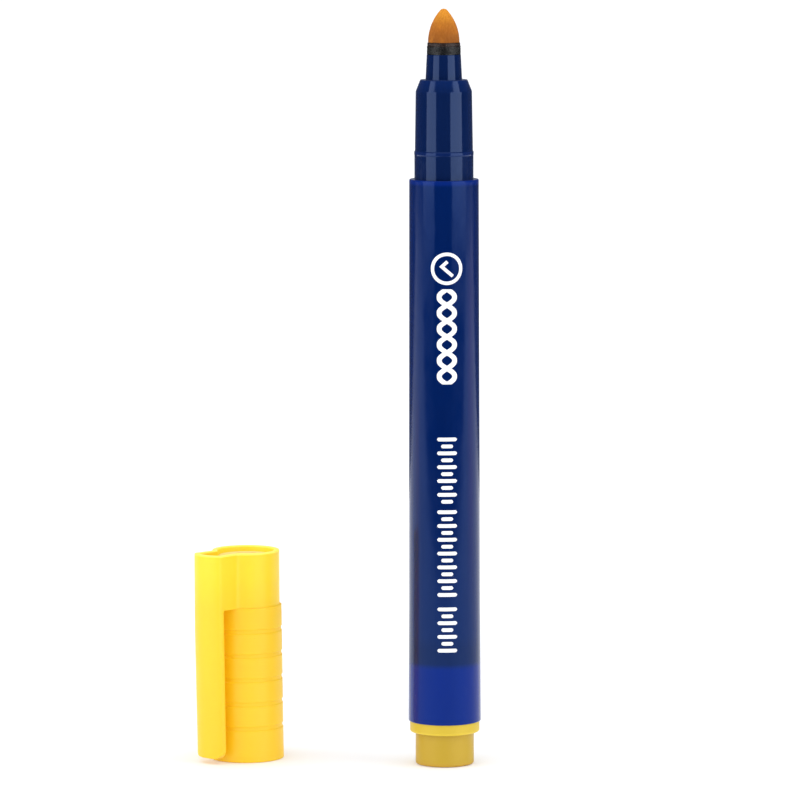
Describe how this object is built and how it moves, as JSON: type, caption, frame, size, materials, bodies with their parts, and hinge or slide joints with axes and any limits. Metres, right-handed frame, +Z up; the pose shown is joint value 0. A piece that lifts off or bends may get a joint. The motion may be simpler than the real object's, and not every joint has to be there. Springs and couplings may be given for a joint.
{
  "type": "counterfeit detector pen",
  "caption": "Slim felt-tip checking pen standing on its tail post, with a ribbed push-on cap and its clip stood beside it.",
  "frame": {"origin": "centre of the tail post's flat end, which stands on the table", "axes": "+Z up the pen's axis to the nib, +X to the pen's right, so the cap stands at -X and a little behind, +Y away from the side that carries the printed marks"},
  "size_m": [0.0485, 0.0187, 0.128],
  "materials": {
    "barrel_blue": "gloss",
    "plug_yellow": "satin",
    "section_navy": "gloss",
    "collar_black": "satin",
    "nib_felt": "matte",
    "reservoir_fibre": "matte",
    "reservoir_film": "gloss",
    "cap_yellow": "satin",
    "liner_cream": "satin"
  },
  "bodies": {
    "pen": {"barrel": "barrel_blue", "tail_plug": "plug_yellow", "front_section": "section_navy", "nib_collar": "collar_black", "nib": "nib_felt", "reservoir_core": "reservoir_fibre", "reservoir_wrap": "reservoir_film"},
    "cap": {"cap_shell": "cap_yellow", "inner_cap": "liner_cream"},
    "clip": {"cap_clip": "cap_yellow"}
  },
  "joints": [
    {"name": "cap_lift", "type": "slide", "parent": "pen", "child": "cap", "axis": [0, 0, 1], "range_m": [0, 0.13]},
    {"name": "clip_flex", "type": "hinge", "parent": "cap", "child": "clip", "pos_m": [-0.04101, -0.00091, 0.02642], "axis": [-0.7071, 0.7071, 0], "range_deg": [0, 5], "stiffness_Nm_per_rad": 0.33}
  ]
}
